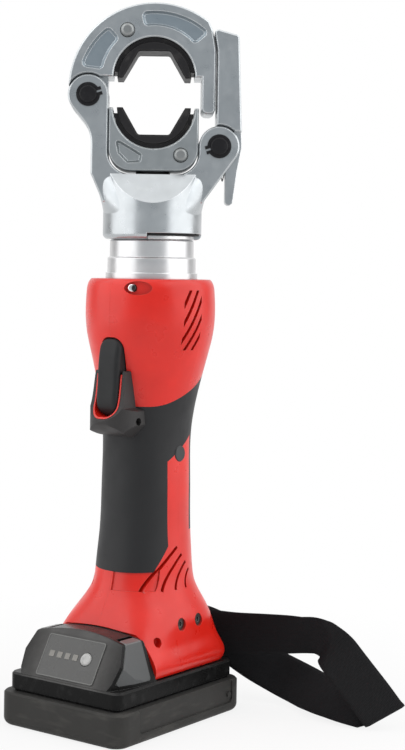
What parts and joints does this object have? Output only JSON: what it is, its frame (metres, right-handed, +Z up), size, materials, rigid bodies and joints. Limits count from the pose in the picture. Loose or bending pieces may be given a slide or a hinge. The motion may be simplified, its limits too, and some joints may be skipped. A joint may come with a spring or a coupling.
{
  "type": "cordless press tool",
  "caption": "Inline battery hydraulic press tool with a swivelling flip-top head, latch, hexagon dies, paddle trigger, slide-on battery pack and wrist strap.",
  "frame": {"origin": "on the floor under the tool's long axis, on the flat bottom of the battery tray", "axes": "+Z up along the tool's long axis, the head's plane is XZ and its front faces -Y, the handle is turned 37.5 degrees about Z so its trigger looks to the front left"},
  "size_m": [0.2267, 0.1433, 0.4105],
  "materials": {
    "head_metal": "satin grey coating on forged steel",
    "collar_metal": "turned bright metal",
    "die_metal": "blackened steel",
    "steel": "plain machined steel",
    "button_metal": "smooth bright steel",
    "red_plastic": "semi-gloss moulded red",
    "grip_rubber": "matt soft rubber",
    "black_plastic": "satin moulded black",
    "grey_plastic": "satin moulded dark grey",
    "seal_rubber": "smooth seal rubber",
    "copper_alloy": "plain contact metal",
    "board": "circuit board",
    "cell_wrap": "shrink-wrapped cells",
    "lens": "clear lens",
    "led": "frosted gauge lights",
    "webbing": "woven flat webbing"
  },
  "bodies": {
    "handle": {"cylinder": "collar_metal", "pump_block": "steel", "oil_bladder": "seal_rubber", "relief_valve": "steel", "pump_plunger": "steel", "gear_case": "steel", "gear_cover": "steel", "motor_can": "steel", "left_shell": "red_plastic", "right_shell": "red_plastic", "grip": "grip_rubber", "trigger_guard": "black_plastic", "trigger_pin": "steel", "trigger_spring": "steel", "power_switch": "black_plastic", "control_board": "board", "terminal_block": "black_plastic", "terminal_blades": "copper_alloy", "work_light": "lens", "screw_plug": "grey_plastic", "housing_screws": "steel", "strap_pin": "steel", "strap": "webbing"},
    "head": {"yoke": "head_metal", "arch_pin": "die_metal", "latch_pin": "die_metal", "pin_circlips": "die_metal", "rod_wiper": "seal_rubber", "swivel_ring": "steel", "latch_spring": "steel"},
    "ram": {"ram": "die_metal", "piston_seal": "seal_rubber", "lower_die_holder": "head_metal", "lower_die": "die_metal", "return_spring": "steel"},
    "arch": {"arch": "head_metal", "upper_die": "die_metal"},
    "latch": {"latch": "head_metal"},
    "die_button_upper": {"upper_die_button": "button_metal"},
    "die_button_lower": {"lower_die_button": "button_metal"},
    "trigger": {"trigger": "black_plastic"},
    "battery": {"battery_case": "black_plastic", "battery_tray": "black_plastic", "battery_cells": "cell_wrap", "battery_board": "board", "gauge_panel": "black_plastic", "gauge_leds": "led", "tray_screws": "steel"},
    "gauge_button": {"gauge_button": "button_metal"},
    "release_left": {"release_button_left": "grey_plastic"},
    "release_right": {"release_button_right": "grey_plastic"},
    "rotor": {"rotor": "steel"},
    "carrier": {"planet_carrier": "steel", "eccentric_bearing": "steel"},
    "planet_1": {"planet_gear_1": "steel"},
    "planet_2": {"planet_gear_2": "steel"},
    "planet_3": {"planet_gear_3": "steel"}
  },
  "joints": [
    {"name": "head_swivel", "type": "hinge", "parent": "handle", "child": "head", "pos_m": [0, 0, 0.288], "axis": [0, 0, 1], "range_deg": [-175, 175]},
    {"name": "ram_slide", "type": "slide", "parent": "head", "child": "ram", "axis": [0, 0, 1], "range_m": [0, 0.0168], "stiffness_N_per_m": 1500, "springref_m": -0.004, "deforming": ["return_spring"]},
    {"name": "arch_hinge", "type": "hinge", "parent": "head", "child": "arch", "pos_m": [-0.038, 0, 0.357], "axis": [0, -1, 0], "range_deg": [0, 60]},
    {"name": "latch_hinge", "type": "hinge", "parent": "head", "child": "latch", "pos_m": [0.038, 0, 0.328], "axis": [0, 1, 0], "range_deg": [0, 15], "stiffness_Nm_per_rad": 0.6, "springref_deg": -5.73, "deforming": ["latch_spring"]},
    {"name": "upper_die_button_push", "type": "slide", "parent": "arch", "child": "die_button_upper", "axis": [0, 1, 0], "range_m": [0, 0.002], "stiffness_N_per_m": 800, "springref_m": -0.0005},
    {"name": "lower_die_button_push", "type": "slide", "parent": "ram", "child": "die_button_lower", "axis": [0, 1, 0], "range_m": [0, 0.002], "stiffness_N_per_m": 800, "springref_m": -0.0005},
    {"name": "trigger_pull", "type": "hinge", "parent": "handle", "child": "trigger", "pos_m": [-0.02021, -0.02634, 0.213], "axis": [0.7934, -0.6088, 0], "range_deg": [0, 6], "stiffness_Nm_per_rad": 0.4, "springref_deg": -8.59, "deforming": ["trigger_spring"]},
    {"name": "battery_slide", "type": "slide", "parent": "handle", "child": "battery", "axis": [-0.6088, -0.7934, 0], "range_m": [0, 0.11]},
    {"name": "gauge_button_push", "type": "slide", "parent": "battery", "child": "gauge_button", "axis": [0.52, 0.6777, -0.5199], "range_m": [0, 0.0008], "stiffness_N_per_m": 500, "springref_m": -0.0003},
    {"name": "release_left_push", "type": "slide", "parent": "battery", "child": "release_left", "axis": [0.7934, -0.6088, 0], "range_m": [0, 0.0025], "stiffness_N_per_m": 600, "springref_m": -0.001},
    {"name": "release_right_push", "type": "slide", "parent": "battery", "child": "release_right", "axis": [-0.7934, 0.6088, 0], "range_m": [0, 0.0025], "stiffness_N_per_m": 600, "springref_m": -0.001},
    {"name": "motor_spin", "type": "hinge", "parent": "handle", "child": "rotor", "pos_m": [0, 0, 0.135], "axis": [0, 0, 1], "continuous": true},
    {"name": "carrier_spin", "type": "hinge", "parent": "handle", "child": "carrier", "pos_m": [0, 0, 0.178], "axis": [0, 0, 1], "continuous": true},
    {"name": "planet_1_spin", "type": "hinge", "parent": "carrier", "child": "planet_1", "pos_m": [0.00857, -0.00658, 0.172], "axis": [0, 0, 1], "continuous": true},
    {"name": "planet_2_spin", "type": "hinge", "parent": "carrier", "child": "planet_2", "pos_m": [0.00141, 0.01071, 0.172], "axis": [0, 0, 1], "continuous": true},
    {"name": "planet_3_spin", "type": "hinge", "parent": "carrier", "child": "planet_3", "pos_m": [-0.00998, -0.00413, 0.172], "axis": [0, 0, 1], "continuous": true}
  ],
  "couplings": [
    {"joint": "carrier_spin", "follows": "motor_spin", "ratio": 0.25},
    {"joint": "planet_1_spin", "follows": "motor_spin", "ratio": -0.75},
    {"joint": "planet_2_spin", "follows": "motor_spin", "ratio": -0.75},
    {"joint": "planet_3_spin", "follows": "motor_spin", "ratio": -0.75}
  ]
}
